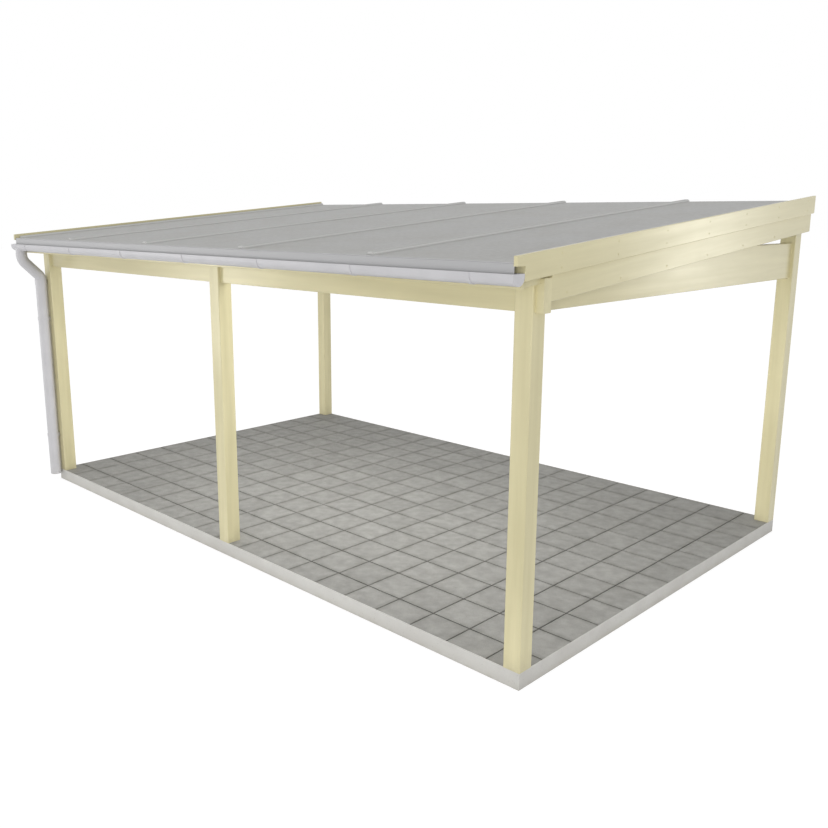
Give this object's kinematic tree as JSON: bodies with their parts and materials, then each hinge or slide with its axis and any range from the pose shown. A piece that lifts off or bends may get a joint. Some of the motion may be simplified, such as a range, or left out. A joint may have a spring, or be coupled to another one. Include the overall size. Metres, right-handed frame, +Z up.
{
  "type": "veranda frame",
  "caption": "Open lean-to veranda frame in cream painted timber on a tiled floor slab, with a sheet roof, gutter and downpipe.",
  "frame": {"origin": "middle of the floor slab's underside, where it stands on the ground", "axes": "+X from the left to the right end seen from the gutter side, +Y from the gutter side to the high back side, +Z up"},
  "size_m": [5.803, 3.844, 2.7443],
  "materials": {
    "painted_timber": "painted, satin",
    "roof_sheet": "smooth",
    "roof_profile": "satin",
    "rainwater": "satin",
    "floor_slab": "fine concrete"
  },
  "bodies": {
    "root": {"floor_slab": "floor_slab", "front_left_post": "painted_timber", "front_middle_post": "painted_timber", "front_right_post": "painted_timber", "back_left_post": "painted_timber", "back_right_post": "painted_timber", "front_beam": "painted_timber", "back_beam": "painted_timber", "left_tie_beam": "painted_timber", "right_tie_beam": "painted_timber", "left_end_rafter": "painted_timber", "right_end_rafter": "painted_timber", "rafter_1": "painted_timber", "rafter_2": "painted_timber", "rafter_3": "painted_timber", "rafter_4": "painted_timber", "left_lower_barge_board": "painted_timber", "right_lower_barge_board": "painted_timber", "left_upper_barge_board": "painted_timber", "right_upper_barge_board": "painted_timber", "fascia_board": "painted_timber", "roof_sheet_1": "roof_sheet", "roof_sheet_2": "roof_sheet", "roof_sheet_3": "roof_sheet", "roof_sheet_4": "roof_sheet", "roof_sheet_5": "roof_sheet", "glazing_bar_1": "roof_profile", "glazing_bar_2": "roof_profile", "glazing_bar_3": "roof_profile", "glazing_bar_4": "roof_profile", "left_edge_bar": "roof_profile", "right_edge_bar": "roof_profile", "eave_profile": "roof_profile", "gutter": "rainwater", "left_gutter_cap": "rainwater", "right_gutter_cap": "rainwater", "gutter_brackets": "rainwater", "gutter_outlet": "rainwater", "swan_neck": "rainwater", "downpipe": "rainwater", "upper_pipe_clip": "rainwater", "lower_pipe_clip": "rainwater"}
  },
  "joints": []
}
